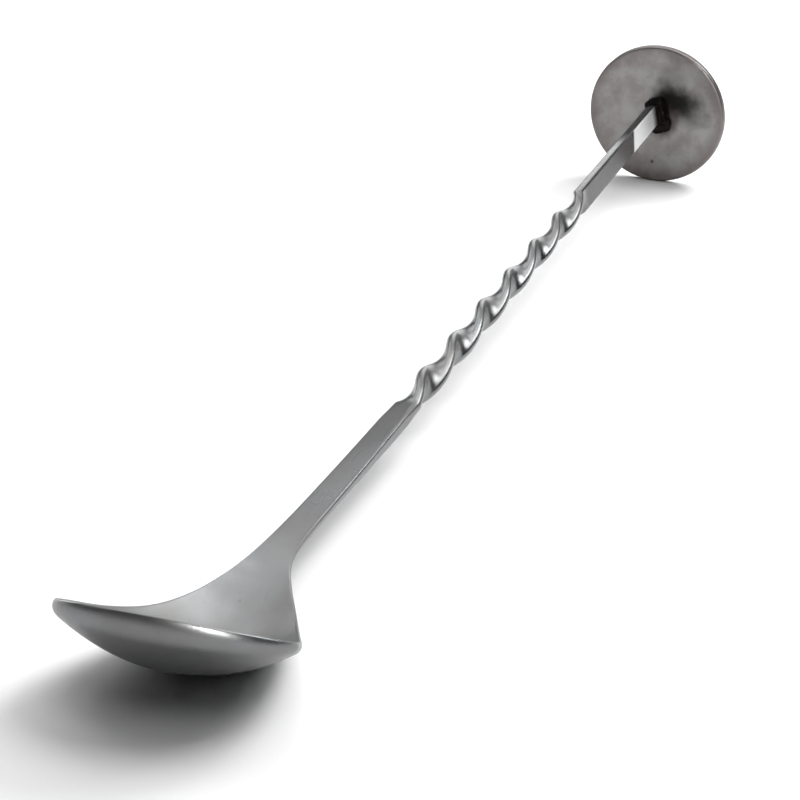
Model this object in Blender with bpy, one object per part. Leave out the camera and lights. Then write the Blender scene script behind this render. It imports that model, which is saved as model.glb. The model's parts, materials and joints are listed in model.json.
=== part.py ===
"""Bar spoon with a twisted flat handle and a muddling disc, lying at rest on a table.

The bowl and the twisted strip come from one blank of stainless steel, the muddling disc is a
second piece, and a weld bead joins them. The blank is divided at the neck, so that the bowl
and the strip are solids of their own. Everything is modelled in the handle frame: +X runs
along the handle from the bowl to the disc, the middle of the disc's inner face is at x = 0,
+Z is up, and y = 0 is the bowl's plane of symmetry. The disc was welded on by hand: it sits
a little low on the strip and leans a little to one side. An empty then lays the spoon down,
so that the bowl's belly and the disc's rim both touch z = 0.
"""
import math

import bmesh
import bpy
import numpy as np

MM = 0.001

# Muddling disc
DISC_RADIUS = 12.4 * MM
DISC_THICKNESS = 1.7 * MM
DISC_EDGE_BEVEL = 0.4 * MM
DISC_DROP = 0.7 * MM
DISC_LEAN = math.radians(-4.0)
DISC_SEGMENTS = 72

# Handle strip
NECK_WIDTH = 3.8 * MM
TWIST_WIDTH = 3.75 * MM
STRIP_THICKNESS = 1.6 * MM
NECK_THICKNESS = 0.95 * MM
STRIP_EDGE_RADIUS = 0.6 * MM
TWIST_START = -136.6 * MM
TWIST_END = -51.7 * MM
TWIST_HALF_TURNS = 6.5
STRIP_ROLL = math.radians(-13.0)
STRIP_NECK = -178.0 * MM
NECK_RISE = 1.0 * MM
WIDTH_CHANGE_LENGTH = 6.0 * MM

# Bowl: stations from the neck to the widest place, each with the rim's x and z, the half width,
# the depth of the floor under the rim, the pitch of the section and the wall thickness.
BOWL_STATIONS = (
    (-178.0 * MM, 1.65 * MM, 1.93 * MM, 0.00 * MM, math.radians(0.0), 0.95 * MM),
    (-183.5 * MM, 1.45 * MM, 2.50 * MM, 0.10 * MM, math.radians(-3.0), 0.95 * MM),
    (-187.5 * MM, 0.65 * MM, 4.15 * MM, 0.45 * MM, math.radians(0.0), 0.98 * MM),
    (-192.0 * MM, 0.10 * MM, 6.50 * MM, 1.45 * MM, math.radians(8.0), 1.00 * MM),
    (-197.0 * MM, 0.85 * MM, 8.90 * MM, 3.00 * MM, math.radians(20.0), 1.00 * MM),
    (-202.5 * MM, 3.20 * MM, 11.30 * MM, 4.30 * MM, math.radians(29.0), 1.00 * MM),
    (-208.5 * MM, 6.70 * MM, 13.35 * MM, 4.50 * MM, math.radians(32.0), 1.00 * MM),
)
BOWL_FRONT_LENGTH = 11.5 * MM
BOWL_FRONT_RISE = math.radians(32.0)
BOWL_FLOOR_POWER = 1.95
RIM_THICKNESS = 0.9 * MM

# Weld bead around the strip's end
WELD_HEIGHT = 2.6 * MM
WELD_FOOT = 1.8 * MM
WELD_TOE = 0.45 * MM

# Faces that touch or are one on the real spoon are modelled this far apart.
JOINT_GAP = 0.3 * MM

# Mesh fineness
POINTS_ACROSS = 11
POINTS_PER_EDGE = 4
STEPS_PER_BOWL_SPAN = 3
BOWL_FRONT_STEPS = 9
STEPS_PER_HALF_TURN = 12
NECK_STEPS = 8


def clear_scene():
    for obj in list(bpy.data.objects):
        bpy.data.objects.remove(obj, do_unlink=True)


def steel(name, colour, roughness):
    material = bpy.data.materials.new(name)
    material.use_nodes = True
    shader = material.node_tree.nodes["Principled BSDF"]
    shader.inputs["Base Color"].default_value = (*colour, 1.0)
    shader.inputs["Metallic"].default_value = 1.0
    shader.inputs["Roughness"].default_value = roughness
    return material


def smooth_step(value):
    value = min(max(value, 0.0), 1.0)
    return value * value * (3.0 - 2.0 * value)


def spline(rows, steps):
    """A Catmull-Rom curve through the rows, with a number of steps in each span."""
    rows = np.array(rows)
    first = 2.0 * rows[0] - rows[1]
    last = 2.0 * rows[-1] - rows[-2]
    padded = np.vstack([first, rows, last])
    result = []
    for index in range(len(rows) - 1):
        before, start, end, after = padded[index:index + 4]
        for step in range(steps):
            t = step / steps
            result.append(0.5 * (2.0 * start + (end - before) * t
                                 + (2.0 * before - 5.0 * start + 4.0 * end - after) * t ** 2
                                 + (3.0 * start - before - 3.0 * end + after) * t ** 3))
    result.append(rows[-1])
    return result


def strip_outline(half_width, thickness, edge_radius):
    """A rounded rectangle as (y, n) points, in order around the section."""
    radius = min(edge_radius, 0.49 * thickness, 0.9 * half_width)
    flat = half_width - radius
    offset = thickness / 2.0 - radius
    points = []
    for side in (1.0, -1.0):
        for v in np.linspace(-1.0, 1.0, POINTS_ACROSS):
            points.append((-side * v * flat, side * thickness / 2.0))
        for step in range(1, POINTS_PER_EDGE):
            angle = math.radians(180.0) * step / POINTS_PER_EDGE
            centre = math.copysign(offset, math.cos(angle)) if step * 2 != POINTS_PER_EDGE else 0.0
            points.append((-side * (flat + radius * math.sin(angle)),
                           side * (centre + radius * math.cos(angle))))
    return points


def bowl_ring(x, z, half_width, depth, pitch, thickness):
    """One section of the bowl: the strip outline bent down from the rim to the floor."""
    ring = []
    for y, n in strip_outline(half_width, thickness, thickness / 2.0):
        v = min(abs(y) / half_width, 1.0)
        height = -thickness / 2.0 - depth * (1.0 - v ** BOWL_FLOOR_POWER)
        slope = math.copysign(depth * BOWL_FLOOR_POWER * v ** (BOWL_FLOOR_POWER - 1.0), y)
        lean = math.atan(slope / half_width)
        side = y - n * math.sin(lean)
        up = height + n * math.cos(lean)
        ring.append((x + up * math.sin(pitch), side, z + up * math.cos(pitch)))
    return ring


def bowl_rings():
    """Sections from the bowl's tip back to the neck."""
    back = spline(BOWL_STATIONS, STEPS_PER_BOWL_SPAN)
    x_wide, z_wide, width_wide, depth_wide, pitch_wide, thickness_wide = BOWL_STATIONS[-1]
    rings = []
    for step in range(BOWL_FRONT_STEPS):
        angle = math.radians(87.0) * (1.0 - step / BOWL_FRONT_STEPS)
        reach = BOWL_FRONT_LENGTH * math.sin(angle)
        x = x_wide - reach * math.cos(BOWL_FRONT_RISE)
        z = z_wide + reach * math.sin(BOWL_FRONT_RISE)
        depth = depth_wide * math.cos(angle) ** 2
        thickness = thickness_wide + (RIM_THICKNESS - thickness_wide) * math.sin(angle)
        rings.append(bowl_ring(x, z, width_wide * math.cos(angle), depth, pitch_wide, thickness))
    for station in reversed(back):
        rings.append(bowl_ring(*station))
    return rings


def strip_state(x):
    """The strip's centre height, half width, thickness and roll at a place along the handle."""
    before_twist = max(TWIST_START - x, 0.0) / (TWIST_START - STRIP_NECK)
    turned = min(max((x - TWIST_START) / (TWIST_END - TWIST_START), 0.0), 1.0)
    roll = STRIP_ROLL * (1.0 - smooth_step(before_twist)) - math.pi * TWIST_HALF_TURNS * turned
    narrowing = smooth_step((x - TWIST_START + WIDTH_CHANGE_LENGTH) / WIDTH_CHANGE_LENGTH)
    half_width = (NECK_WIDTH + (TWIST_WIDTH - NECK_WIDTH) * narrowing) / 2.0
    thickness = STRIP_THICKNESS + (NECK_THICKNESS - STRIP_THICKNESS) * smooth_step(before_twist)
    return NECK_RISE * before_twist ** 1.5, half_width, thickness, roll


def joint_x(y):
    """Where a face that meets the disc stands: one gap short of its leaning inner face."""
    return -JOINT_GAP - y * math.tan(DISC_LEAN)


def strip_ring(x):
    height, half_width, thickness, roll = strip_state(x)
    cosine, sine = math.cos(roll), math.sin(roll)
    ring = []
    for y, n in strip_outline(half_width, thickness, STRIP_EDGE_RADIUS):
        ring.append((x, y * cosine - n * sine, height + y * sine + n * cosine))
    return ring


def strip_rings():
    """Sections from the neck to the strip's end at the disc."""
    places = list(np.linspace(STRIP_NECK + JOINT_GAP, TWIST_START, NECK_STEPS + 1))
    twist_steps = round(TWIST_HALF_TURNS * STEPS_PER_HALF_TURN)
    places += list(np.linspace(TWIST_START, TWIST_END, twist_steps + 1)[1:])
    places += list(np.linspace(TWIST_END, -JOINT_GAP, 4)[1:-1])
    rings = [strip_ring(x) for x in places]
    rings.append([(joint_x(y), y, z) for _, y, z in strip_ring(-JOINT_GAP)])
    return rings


def loft(name, rings, closed_lengthwise=False):
    """A closed solid through rings of points; a ring that ends it is capped."""
    mesh = bpy.data.meshes.new(name)
    shape = bmesh.new()
    loops = [[shape.verts.new(point) for point in ring] for ring in rings]
    pairs = list(zip(loops, loops[1:]))
    if closed_lengthwise:
        pairs.append((loops[-1], loops[0]))
    for near, far in pairs:
        count = len(near)
        for index in range(count):
            following = (index + 1) % count
            shape.faces.new((near[index], near[following], far[following], far[index]))
    if not closed_lengthwise:
        shape.faces.new(loops[0])
        shape.faces.new(loops[-1])
    bmesh.ops.triangulate(shape, faces=[face for face in shape.faces if len(face.verts) > 4])
    bmesh.ops.recalc_face_normals(shape, faces=shape.faces)
    shape.to_mesh(mesh)
    shape.free()
    mesh.shade_smooth()
    mesh.set_sharp_from_angle(angle=math.radians(40.0))
    return bpy.data.objects.new(name, mesh)


def spoon_bowl():
    return loft("spoon_bowl", bowl_rings())


def twisted_strip():
    return loft("twisted_strip", strip_rings())


def weld_bead():
    """A fillet around the strip's end, widest against the disc."""
    roll = strip_state(-JOINT_GAP)[-1]
    cosine, sine = math.cos(roll), math.sin(roll)
    profile = ((0.0, JOINT_GAP), (0.0, WELD_FOOT), (0.35 * WELD_HEIGHT, 0.85 * WELD_FOOT),
               (WELD_HEIGHT, WELD_TOE), (WELD_HEIGHT, JOINT_GAP))
    loops = []
    for height, margin in profile:
        loop = []
        half_width = TWIST_WIDTH / 2.0 - STRIP_EDGE_RADIUS
        half_height = STRIP_THICKNESS / 2.0 - STRIP_EDGE_RADIUS
        radius = STRIP_EDGE_RADIUS + margin
        for quarter, (side, level) in enumerate(((1, 1), (-1, 1), (-1, -1), (1, -1))):
            for step in range(5):
                angle = math.radians(90.0) * (quarter + step / 4.0)
                across = side * half_width + radius * math.cos(angle)
                n = level * half_height + radius * math.sin(angle)
                y = across * cosine - n * sine
                loop.append((joint_x(y) - height, y, across * sine + n * cosine))
        loops.append(loop)
    return loft("weld_bead", loops, closed_lengthwise=True)


def muddler_disc():
    mesh = bpy.data.meshes.new("muddler_disc")
    shape = bmesh.new()
    bmesh.ops.create_circle(shape, cap_ends=True, radius=DISC_RADIUS, segments=DISC_SEGMENTS)
    thickened = bmesh.ops.extrude_face_region(shape, geom=shape.faces[:])
    raised = [item for item in thickened["geom"] if isinstance(item, bmesh.types.BMVert)]
    bmesh.ops.translate(shape, verts=raised, vec=(0.0, 0.0, DISC_THICKNESS))
    rims = [edge for edge in shape.edges
            if abs(edge.verts[0].co.z - edge.verts[1].co.z) < DISC_THICKNESS / 2.0]
    bmesh.ops.bevel(shape, geom=rims, offset=DISC_EDGE_BEVEL, segments=2, profile=0.5,
                    affect="EDGES")
    bmesh.ops.recalc_face_normals(shape, faces=shape.faces)
    shape.to_mesh(mesh)
    shape.free()
    mesh.shade_smooth()
    mesh.set_sharp_from_angle(angle=math.radians(40.0))
    obj = bpy.data.objects.new("muddler_disc", mesh)
    obj.rotation_euler = (0.0, math.radians(90.0), DISC_LEAN)
    obj.location = (0.0, 0.0, -DISC_DROP)
    return obj


def points_in_handle_frame(obj):
    matrix = obj.matrix_basis
    return np.array([matrix @ vertex.co for vertex in obj.data.vertices])


def pitched(points, pitch):
    """Points turned about Y by the pitch."""
    x = points[:, 0] * math.cos(pitch) + points[:, 2] * math.sin(pitch)
    z = points[:, 2] * math.cos(pitch) - points[:, 0] * math.sin(pitch)
    return np.column_stack([x, points[:, 1], z])


def rest_pitch(bowl, disc):
    """The pitch at which the bowl's belly and the disc's rim reach equally low."""
    low, high = math.radians(-10.0), math.radians(10.0)
    for _ in range(50):
        middle = (low + high) / 2.0
        if pitched(bowl, middle)[:, 2].min() < pitched(disc, middle)[:, 2].min():
            low = middle
        else:
            high = middle
    return (low + high) / 2.0


def main():
    clear_scene()
    bowl = spoon_bowl()
    strip = twisted_strip()
    bead = weld_bead()
    disc = muddler_disc()
    bowl.data.materials.append(steel("bowl_steel", (0.25, 0.25, 0.255), 0.3))
    strip.data.materials.append(steel("strip_steel", (0.25, 0.25, 0.255), 0.3))
    bead.data.materials.append(steel("weld_heat_tint", (0.03, 0.027, 0.025), 0.6))
    disc.data.materials.append(steel("disc_steel", (0.24, 0.232, 0.228), 0.42))

    bowl_points = points_in_handle_frame(bowl)
    disc_points = points_in_handle_frame(disc)
    pitch = rest_pitch(bowl_points, disc_points)
    ends = pitched(np.vstack([bowl_points, disc_points]), pitch)
    lowest, highest = ends.min(axis=0), ends.max(axis=0)

    rest = bpy.data.objects.new("rest_frame", None)
    rest.rotation_euler = (0.0, pitch, 0.0)
    rest.location = (-(lowest[0] + highest[0]) / 2.0, -(lowest[1] + highest[1]) / 2.0, -lowest[2])
    collection = bpy.context.scene.collection
    collection.objects.link(rest)
    for piece in (bowl, strip, bead, disc):
        collection.objects.link(piece)
        piece.parent = rest


main()
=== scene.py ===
"""Looks of the bar spoon: fine meshes for its three pieces, satin steel, a pale floor and studio light.

The pieces are built in the handle frame: +X runs along the handle from the bowl to the disc,
the middle of the disc's inner face is the origin, +Z is up and y = 0 is the bowl's plane of
symmetry. The handle frame's place in the row frame is read back from the record's one mount,
which is the disc's outer face.
"""

import json
import math

import bmesh
import bpy
import numpy as np
from mathutils import Matrix, Vector, noise


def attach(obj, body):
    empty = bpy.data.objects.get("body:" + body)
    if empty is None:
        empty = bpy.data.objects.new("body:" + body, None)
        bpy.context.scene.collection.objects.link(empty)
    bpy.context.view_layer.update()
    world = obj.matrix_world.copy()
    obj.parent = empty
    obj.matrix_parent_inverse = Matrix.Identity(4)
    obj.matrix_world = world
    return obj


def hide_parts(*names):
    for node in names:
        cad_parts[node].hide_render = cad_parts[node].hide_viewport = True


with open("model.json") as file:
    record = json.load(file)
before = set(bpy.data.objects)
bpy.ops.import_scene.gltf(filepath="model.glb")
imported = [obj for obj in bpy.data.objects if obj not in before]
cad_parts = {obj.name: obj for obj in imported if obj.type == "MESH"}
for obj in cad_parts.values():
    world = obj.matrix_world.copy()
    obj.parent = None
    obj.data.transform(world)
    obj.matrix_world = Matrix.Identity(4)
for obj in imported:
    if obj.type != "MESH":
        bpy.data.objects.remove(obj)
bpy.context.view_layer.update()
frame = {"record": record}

MM = 0.001

# Muddling disc
DISC_RADIUS = 12.39 * MM
DISC_THICKNESS = 1.7 * MM
DISC_EDGE_RADIUS = 0.42 * MM
DISC_DROP = 0.7 * MM
DISC_LEAN = math.radians(-4.0)
DISC_SEGMENTS = 240
DISC_EDGE_STEPS = 6
DISC_FACE_REACH = 8.0 * MM
DISC_FACE_RINGS = (1.0, 0.5, 0.1)

# Handle strip
NECK_WIDTH = 3.8 * MM
TWIST_WIDTH = 3.75 * MM
STRIP_THICKNESS = 1.6 * MM
NECK_THICKNESS = 0.95 * MM
STRIP_EDGE_RADIUS = 0.42 * MM
TWIST_EDGE_RADIUS = 0.78 * MM
EDGE_RADIUS_SHARE = 0.49
TWIST_START = -136.6 * MM
TWIST_END = -51.7 * MM
TWIST_HALF_TURNS = 6.5
STRIP_ROLL = math.radians(-13.0)
STRIP_NECK = -178.0 * MM
NECK_RISE = 1.085 * MM
NECK_CURVE = 1.5
WIDTH_CHANGE_LENGTH = 6.0 * MM

# Bowl: stations from the neck to the widest place, each with the rim's x and z, the half width,
# the depth of the floor under the rim, the pitch of the section and the wall thickness.
BOWL_STATIONS = (
    (-178.0 * MM, 1.56 * MM, 1.90 * MM, 0.00 * MM, math.radians(0.0), 0.95 * MM),
    (-183.5 * MM, 1.45 * MM, 2.50 * MM, 0.10 * MM, math.radians(-3.0), 0.95 * MM),
    (-187.5 * MM, 0.65 * MM, 4.15 * MM, 0.45 * MM, math.radians(0.0), 0.98 * MM),
    (-192.0 * MM, 0.10 * MM, 6.50 * MM, 1.45 * MM, math.radians(8.0), 1.00 * MM),
    (-197.0 * MM, 0.85 * MM, 8.90 * MM, 3.00 * MM, math.radians(20.0), 1.00 * MM),
    (-202.5 * MM, 3.20 * MM, 11.30 * MM, 4.30 * MM, math.radians(29.0), 1.00 * MM),
    (-208.5 * MM, 6.70 * MM, 13.31 * MM, 4.50 * MM, math.radians(32.0), 1.00 * MM),
)
BOWL_FRONT_LENGTH = 11.1 * MM
BOWL_FRONT_RISE = math.radians(32.0)
BOWL_FLOOR_POWER = 1.95
BOWL_FRONT_END = math.radians(88.5)
RIM_THICKNESS = 2.1 * MM
RIM_TOP_SHARE = 0.22
RIM_FLAT = 0.03 * MM

JOINT_GAP = 0.3 * MM
FLOOR_CLEARANCE = 0.003 * MM

# Weld bead
WELD_HEIGHT = 2.6 * MM
WELD_FOOT = 0.45 * MM
WELD_TOE = 0.35 * MM
WELD_RUN = 1.8 * MM
WELD_RUN_ANGLE = math.radians(-125.0)
WELD_LEAST_MARGIN = 0.12 * MM
WELD_INNER_MARGIN = 0.06 * MM
WELD_LUMP_LENGTH = 1.6
WELD_LUMP_START = 5.0
WELD_LUMPS = ((1.6, 0.30 * MM), (4.0, 0.13 * MM), (9.0, 0.05 * MM))

# Mesh fineness, and the angles past which an edge is shown sharp
POINTS_ACROSS = 57
STEPS_PER_BOWL_SPAN = 12
BOWL_FRONT_STEPS = 40
STEPS_PER_HALF_TURN = 40
NECK_STEPS = 50
FAR_FLAT_STEPS = 30
EASE_REACH = 22.0
EASE_PASSES = 90
WELD_STEPS = 36
WELD_POINTS_PER_QUARTER = 28
SHARP_ANGLE = math.radians(40.0)
WELD_SHARP_ANGLE = math.radians(75.0)


# ---------------------------------------------------------------- shape

def smooth_step(value):
    value = min(max(value, 0.0), 1.0)
    return value * value * (3.0 - 2.0 * value)


def spline(rows, steps):
    """A Catmull-Rom curve through the rows, with a number of steps in each span."""
    rows = np.array(rows)
    padded = np.vstack([2.0 * rows[0] - rows[1], rows, 2.0 * rows[-1] - rows[-2]])
    result = []
    for index in range(len(rows) - 1):
        before, start, end, after = padded[index:index + 4]
        for step in range(steps):
            t = step / steps
            result.append(0.5 * (2.0 * start + (end - before) * t
                                 + (2.0 * before - 5.0 * start + 4.0 * end - after) * t ** 2
                                 + (3.0 * start - before - 3.0 * end + after) * t ** 3))
    result.append(rows[-1])
    return result


def edge_fall(distance, radius):
    """How far a rounded edge of that radius has fallen, at a distance in from the edge."""
    inward = 1.0 - min(max(distance, 0.0) / radius, 1.0)
    return radius * (1.0 - math.sqrt(1.0 - inward * inward))


def section(half_width, thickness, top_radius, bottom_radius, edge_distance):
    """A rounded section as (y, n) points: across the top from +y to -y, then back underneath."""
    points = []
    for side, radius in ((1.0, top_radius), (-1.0, bottom_radius)):
        for v in np.linspace(side, -side, POINTS_ACROSS):
            y = half_width * math.sin(v * math.pi / 2.0)
            points.append((y, side * (thickness / 2.0 - edge_fall(edge_distance(y), radius))))
    return points


def bowl_ring(x, z, half_width, depth, pitch, thickness, edge_distance=None):
    """One section of the bowl: a rounded section bent down from the rim to the floor."""
    edge_distance = edge_distance or (lambda y: half_width - abs(y))
    top_radius = RIM_TOP_SHARE * thickness
    bottom_radius = thickness - top_radius - RIM_FLAT
    ring = []
    for y, n in section(half_width, thickness, top_radius, bottom_radius, edge_distance):
        v = min(abs(y) / half_width, 1.0)
        height = -thickness / 2.0 - depth * (1.0 - v ** BOWL_FLOOR_POWER)
        slope = math.copysign(depth * BOWL_FLOOR_POWER * v ** (BOWL_FLOOR_POWER - 1.0), y)
        lean = math.atan(slope / half_width)
        side = y - n * math.sin(lean)
        up = height + n * math.cos(lean)
        ring.append((x + up * math.sin(pitch), side, z + up * math.cos(pitch)))
    return ring


def bowl_rings():
    """Sections from the bowl's tip back to the neck."""
    x_wide, z_wide, width_wide, depth_wide, pitch_wide, thickness_wide = BOWL_STATIONS[-1]
    rings = []
    for step in range(BOWL_FRONT_STEPS):
        angle = BOWL_FRONT_END * math.sin(0.5 * math.pi * (1.0 - step / BOWL_FRONT_STEPS))
        reach = BOWL_FRONT_LENGTH * math.sin(angle)
        half_width = width_wide * math.cos(angle)

        def edge_distance(y):
            inside = 1.0 - (reach / BOWL_FRONT_LENGTH) ** 2 - (y / width_wide) ** 2
            fall = 2.0 * math.hypot(reach / BOWL_FRONT_LENGTH ** 2, y / width_wide ** 2)
            return inside / max(fall, 1.0e-6)

        x = x_wide - reach * math.cos(BOWL_FRONT_RISE)
        z = z_wide + reach * math.sin(BOWL_FRONT_RISE)
        depth = depth_wide * math.cos(angle) ** 2
        thickness = thickness_wide + (RIM_THICKNESS - thickness_wide) * math.sin(angle)
        rings.append(bowl_ring(x, z, half_width, depth, pitch_wide, thickness, edge_distance))
    for station in reversed(spline(BOWL_STATIONS, STEPS_PER_BOWL_SPAN)):
        rings.append(bowl_ring(*station))
    return rings


def strip_state(x):
    """The strip's centre height, half width, thickness, edge radius and roll at a place."""
    before_twist = max(TWIST_START - x, 0.0) / (TWIST_START - STRIP_NECK)
    turned = min(max((x - TWIST_START) / (TWIST_END - TWIST_START), 0.0), 1.0)
    roll = STRIP_ROLL * (1.0 - smooth_step(before_twist)) - math.pi * TWIST_HALF_TURNS * turned
    narrowing = smooth_step((x - TWIST_START + WIDTH_CHANGE_LENGTH) / WIDTH_CHANGE_LENGTH)
    half_width = (NECK_WIDTH + (TWIST_WIDTH - NECK_WIDTH) * narrowing) / 2.0
    thickness = STRIP_THICKNESS + (NECK_THICKNESS - STRIP_THICKNESS) * smooth_step(before_twist)
    leaving = smooth_step((TWIST_END - x) / WIDTH_CHANGE_LENGTH)
    radius = STRIP_EDGE_RADIUS + (TWIST_EDGE_RADIUS - STRIP_EDGE_RADIUS) * min(narrowing, leaving)
    radius = min(radius, EDGE_RADIUS_SHARE * thickness)
    return NECK_RISE * before_twist ** NECK_CURVE, half_width, thickness, radius, roll


def joint_x(y):
    """Where a face that meets the disc stands: one gap short of its leaning inner face."""
    return -JOINT_GAP - y * math.tan(DISC_LEAN)


def strip_ring(x):
    height, half_width, thickness, radius, roll = strip_state(x)
    cosine, sine = math.cos(roll), math.sin(roll)
    ring = []
    for y, n in section(half_width, thickness, radius, radius, lambda y: half_width - abs(y)):
        ring.append((x, y * cosine - n * sine, height + y * sine + n * cosine))
    return ring


def strip_rings():
    """Sections from just past the neck to the strip's end at the disc."""
    places = list(np.linspace(STRIP_NECK, TWIST_START, NECK_STEPS + 1)[1:])
    twist_steps = round(TWIST_HALF_TURNS * STEPS_PER_HALF_TURN)
    places += list(np.linspace(TWIST_START, TWIST_END, twist_steps + 1)[1:])
    places += list(np.linspace(TWIST_END, -JOINT_GAP, FAR_FLAT_STEPS + 1)[1:-1])
    rings = [strip_ring(x) for x in places]
    rings.append([(joint_x(y), y, z) for _, y, z in strip_ring(-JOINT_GAP)])
    return rings


def handle_matrix():
    """The handle frame's place in the row frame, from the disc's outer face."""
    mount = frame["record"]["mounts"][0]
    axis = Vector(mount["axis"])
    turn = Matrix.Rotation(-math.atan2(axis.z, axis.x), 4, "Y")
    face = Vector((DISC_THICKNESS * math.cos(DISC_LEAN),
                   DISC_THICKNESS * math.sin(DISC_LEAN),
                   -DISC_DROP))
    place = Vector(mount["pos_m"]) - turn @ face + Vector((0.0, 0.0, FLOOR_CLEARANCE))
    return Matrix.Translation(place) @ turn


HANDLE = handle_matrix()


def finished(name, shape, sharp_angle=SHARP_ANGLE):
    """Moves a bmesh from the handle frame to the row frame and makes it an object."""
    bmesh.ops.triangulate(shape, faces=[face for face in shape.faces if len(face.verts) > 4])
    bmesh.ops.recalc_face_normals(shape, faces=shape.faces)
    shape.transform(HANDLE)
    mesh = bpy.data.meshes.new(name)
    shape.to_mesh(mesh)
    shape.free()
    mesh.shade_smooth()
    mesh.set_sharp_from_angle(angle=sharp_angle)
    obj = bpy.data.objects.new(name, mesh)
    bpy.context.scene.collection.objects.link(obj)
    return obj


def skin(shape, rings, closed_lengthwise=False):
    """Faces through rings of points; rings that end the skin are capped."""
    loops = [[shape.verts.new(point) for point in ring] for ring in rings]
    pairs = list(zip(loops, loops[1:]))
    if closed_lengthwise:
        pairs.append((loops[-1], loops[0]))
    for near, far in pairs:
        count = len(near)
        for index in range(count):
            following = (index + 1) % count
            shape.faces.new((near[index], near[following], far[following], far[index]))
    if not closed_lengthwise:
        shape.faces.new(loops[0])
        shape.faces.new(loops[-1])


def eased(rings, middle):
    """The rings with the change of slope around one of them spread over its neighbours."""
    rings = np.array(rings)
    away = np.abs(np.arange(len(rings)) - middle) / EASE_REACH
    share = 0.5 * np.clip(1.0 - away, 0.0, 1.0)[1:-1, None, None]
    for _ in range(EASE_PASSES):
        rings[1:-1] += share * (0.5 * (rings[:-2] + rings[2:]) - rings[1:-1])
    return [[Vector(point) for point in ring] for ring in rings.tolist()]


def make_blank():
    shape = bmesh.new()
    bowl = bowl_rings()
    skin(shape, eased(bowl + strip_rings(), len(bowl)))
    return finished("spoon_blank_fine", shape)


def weld_margin(part, angle):
    """How far the bead stands off the strip: wide and run to one side at the foot, thin at the toe."""
    run = WELD_RUN * (0.5 + 0.5 * math.cos(angle - WELD_RUN_ANGLE))
    foot = WELD_FOOT + run
    margin = foot + (WELD_TOE - foot) * math.sin(part * math.pi / 2.0)
    for lumps, height in WELD_LUMPS:
        along = WELD_LUMP_LENGTH * lumps * part + WELD_LUMP_START
        place = Vector((lumps * math.cos(angle), lumps * math.sin(angle), along))
        margin += height * noise.noise(place)
    return max(margin, WELD_LEAST_MARGIN)


def make_weld():
    """The lumpy bead around the strip's end."""
    roll = strip_state(-JOINT_GAP)[-1]
    cosine, sine = math.cos(roll), math.sin(roll)
    half_width = TWIST_WIDTH / 2.0 - STRIP_EDGE_RADIUS
    half_height = STRIP_THICKNESS / 2.0 - STRIP_EDGE_RADIUS
    rings = []
    for step in range(-1, WELD_STEPS + 2):
        part = min(max(step / WELD_STEPS, 0.0), 1.0)
        inner = step < 0 or step > WELD_STEPS
        ring = []
        for quarter, (side, level) in enumerate(((1, 1), (-1, 1), (-1, -1), (1, -1))):
            for index in range(WELD_POINTS_PER_QUARTER + 1):
                angle = math.radians(90.0) * (quarter + index / WELD_POINTS_PER_QUARTER)
                margin = WELD_INNER_MARGIN if inner else weld_margin(part, angle + roll)
                radius = STRIP_EDGE_RADIUS + margin
                across = side * half_width + radius * math.cos(angle)
                n = level * half_height + radius * math.sin(angle)
                y = across * cosine - n * sine
                ring.append((joint_x(y) - WELD_HEIGHT * part, y, across * sine + n * cosine))
        rings.append(ring)
    shape = bmesh.new()
    skin(shape, rings, closed_lengthwise=True)
    return finished("weld_bead_fine", shape, WELD_SHARP_ANGLE)


def make_disc():
    """The disc, turned about its axis: two flat faces and a rounded rim."""
    edge_start = DISC_RADIUS - DISC_EDGE_RADIUS
    face_radii = [edge_start - DISC_FACE_REACH * part for part in DISC_FACE_RINGS]
    profile = [(0.0, radius) for radius in face_radii]
    for face, side, start in ((0.0, 1.0, 0.0), (DISC_THICKNESS, -1.0, 90.0)):
        for step in range(DISC_EDGE_STEPS + 1):
            angle = math.radians(start + 90.0 * step / DISC_EDGE_STEPS)
            along = face + side * DISC_EDGE_RADIUS - DISC_EDGE_RADIUS * math.cos(angle)
            profile.append((along, edge_start + DISC_EDGE_RADIUS * math.sin(angle)))
    profile += [(DISC_THICKNESS, radius) for radius in reversed(face_radii)]
    turn = Matrix.Translation((0.0, 0.0, -DISC_DROP)) @ Matrix.Rotation(DISC_LEAN, 4, "Z")
    rings = []
    for along, radius in profile:
        ring = []
        for step in range(DISC_SEGMENTS):
            angle = 2.0 * math.pi * step / DISC_SEGMENTS
            ring.append(turn @ Vector((along, radius * math.cos(angle), radius * math.sin(angle))))
        rings.append(ring)
    shape = bmesh.new()
    skin(shape, rings)
    return finished("muddler_disc_fine", shape)


# ---------------------------------------------------------------- materials

STEEL_LIGHT = (0.205, 0.211, 0.215, 1.0)
STEEL_WARM = (0.192, 0.190, 0.187, 1.0)
STEEL_PIT = (0.05, 0.045, 0.042, 1.0)
STEEL_SCALE = (0.03, 0.026, 0.024, 1.0)
# Painted dark reflection on the far flat's right side
PAINTED_DARK_REFLECTION_GREY = (0.030, 0.027, 0.026, 1.0)
# Painted highlight for the bright patch on the far flat's right side
PAINTED_HIGHLIGHT_GREY = (0.85, 0.86, 0.86, 1.0)
WELD_BLACK = (0.008, 0.007, 0.007, 1.0)
WELD_BROWN = (0.030, 0.022, 0.018, 1.0)
DISC_GREY = (0.27, 0.267, 0.262, 1.0)
DISC_BROWN = (0.235, 0.218, 0.213, 1.0)
DISC_EDGE_BROWN = (0.12, 0.098, 0.095, 1.0)
DISC_PURPLE = (0.195, 0.174, 0.176, 1.0)

# Where the blank's steel changes, by x in the row frame: a start and an end for each
NECK_SATIN = (-85.0 * MM, -60.0 * MM)
# Where the painted dark reflection on the far flat's right side starts
DARK_REFLECTION_EDGE = (54.5 * MM, 60.0 * MM)
FAR_FLAT_POLISH = (52.0 * MM, 60.0 * MM)
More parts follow.
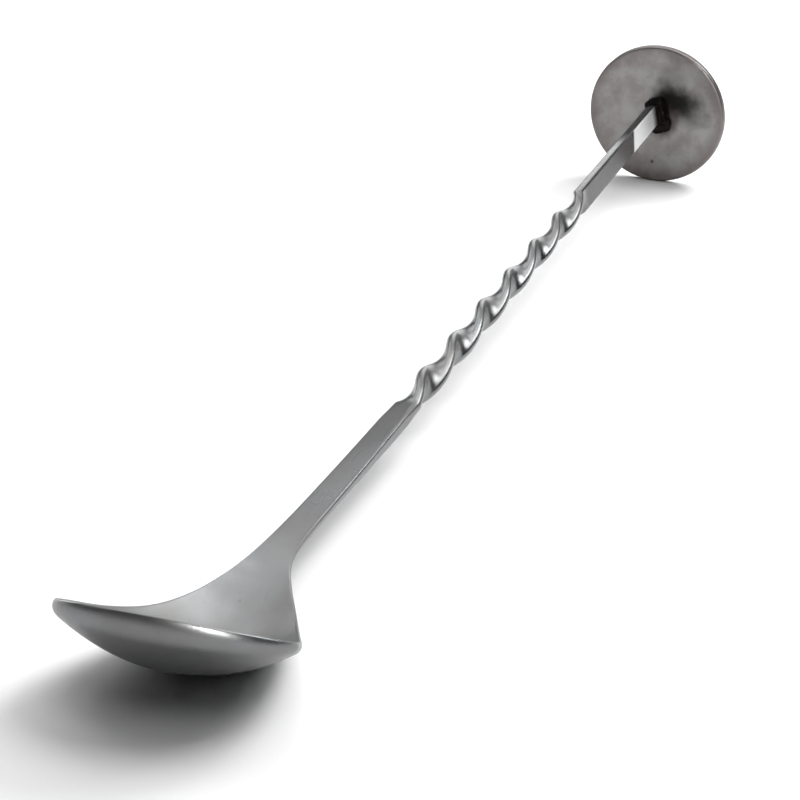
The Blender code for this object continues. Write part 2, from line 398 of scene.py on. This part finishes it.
# Where the painted highlight on the far flat's right side starts, slanted by height
PAINTED_HIGHLIGHT_EDGE = (82.5 * MM, 83.5 * MM)
HEAT_EDGE = (103.5 * MM, 107.5 * MM)

# Middles of the disc's marks, in the row frame; the first three place the painted dark reflection of
# the handle beside the weld
HANDLE_REFLECTION_CENTRE = (107.8 * MM, -3.8 * MM, 15.3 * MM)
HANDLE_REFLECTION_SIDE = (107.7 * MM, -6.4 * MM, 12.9 * MM)
HANDLE_REFLECTION_TAIL = (107.6 * MM, -2.6 * MM, 18.6 * MM)
DISC_MIDDLE = (108.1 * MM, 0.0 * MM, 12.4 * MM)
WELD_PLACE = (108.1 * MM, -1.2 * MM, 11.5 * MM)
SPECK_PLACE = (108.64 * MM, 0.2 * MM, 3.6 * MM)

# Outputs of the texture coordinate node
NORMAL_OUTPUT = 1
OBJECT_OUTPUT = 3


def put(tree, kind, inputs=None, output=0, **settings):
    """Adds a node; inputs are constants or sockets to link. Gives one of its outputs."""
    made = tree.nodes.new(kind)
    for key, value in settings.items():
        setattr(made, key, value)
    for key, value in (inputs or {}).items():
        if isinstance(value, bpy.types.NodeSocket):
            tree.links.new(value, made.inputs[key])
        else:
            made.inputs[key].default_value = value
    return made.outputs[output]


def grain(tree, coords, scale, stretch=(1.0, 1.0, 1.0), detail=3.0, rough=0.55, warp=0.0):
    """Noise with a number of cells per metre, stretched along an axis where its factor is small."""
    place = put(tree, "ShaderNodeMapping", {"Vector": coords, "Scale": stretch})
    return put(tree, "ShaderNodeTexNoise", {"Vector": place, "Scale": scale, "Detail": detail,
                                            "Roughness": rough, "Distortion": warp})


def ramp(tree, value, low, high, start=0.0, end=1.0):
    """A smooth change from start to end while the value goes from low to high."""
    return put(tree, "ShaderNodeMapRange", {"Value": value, "From Min": low, "From Max": high,
                                            "To Min": start, "To Max": end},
               interpolation_type="SMOOTHSTEP")


def maths(tree, operation, first, second):
    return put(tree, "ShaderNodeMath", {0: first, 1: second}, operation=operation)


def times(tree, first, second):
    return maths(tree, "MULTIPLY", first, second)


def plus(tree, first, second):
    return maths(tree, "ADD", first, second)


def opposite(tree, mask):
    """1 where the mask is 0, and 0 where it is 1."""
    return maths(tree, "SUBTRACT", 1.0, mask)


def blend(tree, amount, first, second):
    """A colour between the first and the second."""
    return put(tree, "ShaderNodeMix", {0: amount, 6: first, 7: second}, output=2, data_type="RGBA")


def layered(tree, colour, layers):
    """The colour with others laid over it in turn: each has a mask, a share and a colour."""
    for mask, share, tint in layers:
        colour = blend(tree, times(tree, mask, share), colour, tint)
    return colour


def spot(tree, coords, centre, reach, edge, stretch=(1.0, 1.0, 1.0)):
    """1 inside a round patch in object space, falling to 0 over its soft edge."""
    place = put(tree, "ShaderNodeVectorMath", {0: coords, 1: centre}, operation="SUBTRACT")
    place = put(tree, "ShaderNodeVectorMath", {0: place, 1: stretch}, operation="MULTIPLY")
    away = put(tree, "ShaderNodeVectorMath", {0: place}, output=1, operation="LENGTH")
    return ramp(tree, away, reach, reach + edge, 1.0, 0.0)


def pits(tree, coords, scale, size):
    """1 at small scattered points."""
    away = put(tree, "ShaderNodeTexVoronoi", {"Vector": coords, "Scale": scale, "Randomness": 1.0})
    return ramp(tree, away, size * 0.5, size, 1.0, 0.0)


def scratches(tree, coords, scale, stretch, sharp):
    """Thin broken lines running along the stretched axis."""
    lines = grain(tree, coords, scale, stretch, 4.0, 0.7)
    return ramp(tree, lines, sharp, sharp + 0.07)


def relief(tree, layers):
    """A normal from bump layers laid one on another, each with a height and its size in metres."""
    inputs = {}
    for height, distance in layers:
        inputs.update({"Height": height, "Distance": distance, "Strength": 1.0})
        inputs["Normal"] = put(tree, "ShaderNodeBump", inputs)
    return inputs["Normal"]


def steel(name):
    """A metal material, its tree and object-space coordinates."""
    material = bpy.data.materials.new(name)
    material.use_nodes = True
    tree = material.node_tree
    tree.nodes["Principled BSDF"].inputs["Metallic"].default_value = 1.0
    return material, tree, put(tree, "ShaderNodeTexCoord", output=OBJECT_OUTPUT)


def wire(tree, **sockets):
    """Links sockets to the shader's inputs; an underscore stands for a space in an input's name."""
    shader = tree.nodes["Principled BSDF"]
    for name, socket in sockets.items():
        tree.links.new(socket, shader.inputs[name.replace("_", " ")])


def blank_material():
    """Satin steel: drawing lines, fine grain and small pits, with a painted dark reflection, a painted
    highlight and heat tint on the far flat.
    """
    material, tree, coords = steel("blank_steel")
    along = put(tree, "ShaderNodeSeparateXYZ", {"Vector": coords})
    height = put(tree, "ShaderNodeSeparateXYZ", {"Vector": coords}, output=2)
    clouds = grain(tree, coords, 160.0, (0.5, 1.0, 1.0), 5.0, 0.6)
    fine = grain(tree, coords, 2600.0, (0.6, 1.0, 1.0), 3.0, 0.6)
    drawn = grain(tree, coords, 2200.0, (0.05, 1.0, 1.0), 3.0, 0.6)
    lines = scratches(tree, coords, 1500.0, (0.04, 1.0, 1.0), 0.64)
    holes = times(tree, pits(tree, coords, 380.0, 0.085), ramp(tree, clouds, 0.5, 0.56))

    # The far flat's right side is painted dark in place of a dark reflection, with a painted highlight
    # patch that ends where the heat tint starts.
    normal = put(tree, "ShaderNodeTexCoord", output=NORMAL_OUTPUT)
    facing = put(tree, "ShaderNodeSeparateXYZ", {"Vector": normal}, output=1)
    right_side = ramp(tree, facing, -0.9, -0.6, 1.0, 0.0)
    heat = ramp(tree, plus(tree, along, times(tree, clouds, 3.0 * MM)), *HEAT_EDGE)
    slanted = maths(tree, "SUBTRACT", along, times(tree, height, 0.5))
    # Painted highlight: a bright patch on the far flat's right side, stopping short of the heat tint
    painted_highlight = times(tree, right_side, ramp(tree, slanted, *PAINTED_HIGHLIGHT_EDGE))
    painted_highlight = times(tree, painted_highlight, opposite(tree, heat))
    # Painted dark reflection: the far flat's right side darkened and made non-metal
    painted_dark_reflection = times(tree, right_side, ramp(tree, along, *DARK_REFLECTION_EDGE))
    painted_dark_reflection = times(tree, painted_dark_reflection, opposite(tree, painted_highlight))

    colour = blend(tree, ramp(tree, clouds, 0.35, 0.7), STEEL_LIGHT, STEEL_WARM)
    colour = layered(tree, colour, (
        (holes, 0.35, STEEL_PIT),
        (lines, 0.15, STEEL_PIT),
        # painted dark reflection
        (painted_dark_reflection, 0.95, PAINTED_DARK_REFLECTION_GREY),
        # painted highlight
        (painted_highlight, 1.0, PAINTED_HIGHLIGHT_GREY),
        (heat, 0.85, STEEL_SCALE)))
    rough = plus(tree, ramp(tree, clouds, 0.3, 0.7, 0.24, 0.32), times(tree, fine, 0.06))
    rough = plus(tree, rough, times(tree, lines, 0.12))
    rough = plus(tree, rough, ramp(tree, along, *NECK_SATIN, 0.08, 0.0))
    rough = times(tree, rough, ramp(tree, along, *FAR_FLAT_POLISH, 1.0, 0.7))
    # rougher where the painted highlight lies
    rough = plus(tree, rough, times(tree, painted_highlight, 0.35))
    rough = plus(tree, rough, times(tree, heat, 0.2))
    bumps = relief(tree, ((fine, 0.01 * MM), (drawn, 0.01 * MM), (clouds, 0.05 * MM)))
    tree.nodes["Principled BSDF"].inputs["Specular IOR Level"].default_value = 0.15
    # Metallic drops to nothing under the painted dark reflection
    wire(tree, Base_Color=colour, Metallic=opposite(tree, painted_dark_reflection), Roughness=rough, Normal=bumps)
    return material


def weld_material():
    """Burnt, scaly weld metal, nearly black."""
    material, tree, coords = steel("weld_heat_tint")
    patches = grain(tree, coords, 900.0, detail=5.0, rough=0.65, warp=0.4)
    crust = grain(tree, coords, 3200.0, detail=4.0, rough=0.6)
    colour = blend(tree, ramp(tree, patches, 0.45, 0.7), WELD_BLACK, WELD_BROWN)
    colour = layered(tree, colour, ((ramp(tree, patches, 0.66, 0.76), 0.6, STEEL_WARM),))
    rough = ramp(tree, crust, 0.3, 0.7, 0.38, 0.62)
    bumps = relief(tree, ((crust, 0.04 * MM), (patches, 0.16 * MM)))
    wire(tree, Base_Color=colour, Roughness=rough, Normal=bumps)
    return material


def wandering(tree, coords):
    """The coordinates moved about by a millimetre or so, so that patches get uneven outlines."""
    drift = put(tree, "ShaderNodeTexNoise", {"Vector": coords, "Scale": 240.0, "Detail": 3.0}, output=1)
    drift = put(tree, "ShaderNodeVectorMath", {0: drift, 1: (0.5, 0.5, 0.5)}, operation="SUBTRACT")
    drift = put(tree, "ShaderNodeVectorMath", {0: drift, "Scale": 5.0 * MM}, operation="SCALE")
    return put(tree, "ShaderNodeVectorMath", {0: coords, 1: drift}, operation="ADD")


def disc_material():
    """Disc steel with brown mottling, a painted dark reflection of the handle beside the weld and one
    dark speck.
    """
    material, tree, coords = steel("disc_steel")
    mottle = grain(tree, coords, 330.0, detail=6.0, rough=0.6, warp=0.3)
    broad = grain(tree, coords, 110.0, detail=4.0, rough=0.55, warp=0.5)
    fine = grain(tree, coords, 3000.0, detail=3.0, rough=0.6)
    dust = times(tree, pits(tree, coords, 520.0, 0.13), ramp(tree, broad, 0.5, 0.65))
    speck = spot(tree, coords, SPECK_PLACE, 0.12 * MM, 0.3 * MM)
    moved = wandering(tree, coords)
    # Painted dark reflection of the handle: a smudge beside the weld, with a tail and a side patch
    painted_reflection = spot(tree, moved, HANDLE_REFLECTION_CENTRE, 1.3 * MM, 3.2 * MM, (0.5, 0.8, 1.0))
    painted_reflection_tail = spot(tree, moved, HANDLE_REFLECTION_TAIL, 0.4 * MM, 3.4 * MM, (0.5, 1.0, 0.55))
    painted_reflection_side = spot(tree, moved, HANDLE_REFLECTION_SIDE, 0.4 * MM, 3.0 * MM, (0.5, 0.9, 1.0))
    ring = spot(tree, moved, WELD_PLACE, 2.2 * MM, 2.2 * MM)
    edge_brown = opposite(tree, spot(tree, moved, DISC_MIDDLE, 9.2 * MM, 3.0 * MM))

    colour = blend(tree, ramp(tree, mottle, 0.38, 0.66), DISC_GREY, DISC_BROWN)
    colour = layered(tree, colour, (
        (ramp(tree, broad, 0.52, 0.72), 0.6, DISC_PURPLE),
        (edge_brown, 0.55, DISC_EDGE_BROWN),
        # painted dark reflection of the handle
        (painted_reflection, 0.95, WELD_BLACK),
        (painted_reflection_tail, 0.3, WELD_BLACK),
        (painted_reflection_side, 0.5, WELD_BLACK),
        (ring, 0.7, WELD_BROWN),
        (dust, 0.4, STEEL_PIT),
        (speck, 0.7, WELD_BLACK)))
    rough = plus(tree, ramp(tree, mottle, 0.3, 0.7, 0.34, 0.46), times(tree, fine, 0.06))
    # rougher where the painted reflection of the handle lies
    rough = plus(tree, rough, times(tree, painted_reflection, 0.12))
    bumps = relief(tree, ((fine, 0.012 * MM), (mottle, 0.05 * MM)))
    wire(tree, Base_Color=colour, Roughness=rough, Normal=bumps)
    return material


# ---------------------------------------------------------------- camera, floor and light

CAMERA_PLACE = Vector((-0.30230, -0.09032, 0.12036))
CAMERA_AHEAD = Vector((0.88303, 0.29411, -0.36573))
CAMERA_UP = Vector((0.33674, 0.14574, 0.93025))
CAMERA_LENS = 108.0
CAMERA_SENSOR = 36.0
CAMERA_NEAR = 0.01
CAMERA_FAR = 20.0
CAMERA_LAMP_SIZE = 0.04
CAMERA_LAMP_SIDE = (0.025, -0.070, 0.0)
CAMERA_LAMP_LIFT = 0.018
CAMERA_LAMP_WATTS = 0.8
FLOOR_REACH = 3.0
FLOOR_SEGMENTS = 8
FLOOR_COLOUR = (0.93, 0.93, 0.935, 1.0)


def make_camera():
    data = bpy.data.cameras.new("camera")
    data.lens = CAMERA_LENS
    data.sensor_width = CAMERA_SENSOR
    data.clip_start = CAMERA_NEAR
    data.clip_end = CAMERA_FAR
    camera = bpy.data.objects.new("camera", data)
    right = CAMERA_AHEAD.cross(CAMERA_UP).normalized()
    up = right.cross(CAMERA_AHEAD).normalized()
    camera.matrix_world = Matrix((
        (right.x, up.x, -CAMERA_AHEAD.x, CAMERA_PLACE.x),
        (right.y, up.y, -CAMERA_AHEAD.y, CAMERA_PLACE.y),
        (right.z, up.z, -CAMERA_AHEAD.z, CAMERA_PLACE.z),
        (0.0, 0.0, 0.0, 1.0)))
    bpy.context.scene.collection.objects.link(camera)
    bpy.context.scene.camera = camera


def make_floor():
    shape = bmesh.new()
    bmesh.ops.create_grid(shape, x_segments=FLOOR_SEGMENTS, y_segments=FLOOR_SEGMENTS, size=FLOOR_REACH)
    mesh = bpy.data.meshes.new("floor")
    shape.to_mesh(mesh)
    shape.free()
    floor = bpy.data.objects.new("floor", mesh)
    bpy.context.scene.collection.objects.link(floor)
    material = bpy.data.materials.new("pale_floor")
    material.use_nodes = True
    shader = material.node_tree.nodes["Principled BSDF"]
    shader.inputs["Base Color"].default_value = FLOOR_COLOUR
    shader.inputs["Roughness"].default_value = 0.9
    shader.inputs["Specular IOR Level"].default_value = 0.0
    floor.data.materials.append(material)


def soft_light(name, turn, height, size, watts, floor=True, metal=True):
    """A round soft light 1 m from the origin, by its turn from +X and its height, in degrees.

    Some lights fall on the floor alone and some show in the metal alone, as flags and
    reflector cards part them in a studio.
    """
    data = bpy.data.lights.new(name, "AREA")
    data.shape = "DISK"
    data.size = size
    data.energy = watts
    light = bpy.data.objects.new(name, data)
    turn, height = math.radians(turn), math.radians(height)
    level = math.cos(height)
    light.location = (level * math.cos(turn), level * math.sin(turn), math.sin(height))
    light.rotation_euler = (-Vector(light.location)).to_track_quat("-Z", "Y").to_euler()
    light.visible_diffuse = floor
    light.visible_glossy = metal
    bpy.context.scene.collection.objects.link(light)


def make_lamp_at_camera():
    """A small lamp above and to the right of the lens, for the glints that face the camera."""
    data = bpy.data.lights.new("lamp_at_camera", "AREA")
    data.shape = "DISK"
    data.size = CAMERA_LAMP_SIZE
    data.energy = CAMERA_LAMP_WATTS
    lamp = bpy.data.objects.new("lamp_at_camera", data)
    lamp.location = CAMERA_PLACE + CAMERA_UP * CAMERA_LAMP_LIFT + Vector(CAMERA_LAMP_SIDE)
    lamp.rotation_euler = CAMERA_AHEAD.to_track_quat("-Z", "Y").to_euler()
    lamp.visible_diffuse = False
    bpy.context.scene.collection.objects.link(lamp)


def make_lights():
    """Soft lights by turn and height in degrees, size in metres and power in watts."""
    soft_light("floor_key", -20.0, 42.0, 0.35, 3.2, metal=False)
    soft_light("floor_near", -150.0, 62.0, 0.7, 1.8, metal=False)
    soft_light("key_right", -36.0, 36.0, 0.45, 3.6)
    soft_light("over_right", -60.0, 62.0, 0.5, 3.8)
    soft_light("over_far", 0.0, 62.0, 0.55, 2.2)
    soft_light("over_left", 60.0, 62.0, 0.55, 1.2)
    soft_light("top", 0.0, 90.0, 0.5, 0.9)
    soft_light("far", 0.0, 36.0, 0.5, 0.5)
    soft_light("far_left", 36.0, 36.0, 0.5, 1.2)
    soft_light("left", 72.0, 36.0, 0.5, 0.5)
    soft_light("low_far", 10.0, 12.0, 0.42, 0.8)
    soft_light("low_left", 60.0, 12.0, 0.42, 2.2, floor=False)
    soft_light("near_left", 108.0, 36.0, 0.5, 0.9, floor=False)
    soft_light("over_near_left", 120.0, 62.0, 0.55, 1.4, floor=False)
    soft_light("over_near", -120.0, 62.0, 0.55, 0.8, floor=False)
    make_lamp_at_camera()


def make_world():
    """A black world: all the light comes from the lights."""
    world = bpy.data.worlds.new("studio")
    world.use_nodes = True
    world.node_tree.nodes["Background"].inputs["Strength"].default_value = 0.0
    bpy.context.scene.world = world


def main():
    make_camera()
    make_floor()
    make_world()
    make_lights()
    blank, weld, disc = make_blank(), make_weld(), make_disc()
    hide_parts("spoon_bowl", "twisted_strip")
    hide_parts("weld_bead")
    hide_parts("muddler_disc")
    for piece, slot in ((blank, "blank_steel"), (weld, "weld_heat_tint"), (disc, "disc_steel")):
        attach(piece, "root")
    blank.data.materials.append(blank_material())
    weld.data.materials.append(weld_material())
    disc.data.materials.append(disc_material())
    bpy.context.scene.view_settings.view_transform = "Standard"


main()
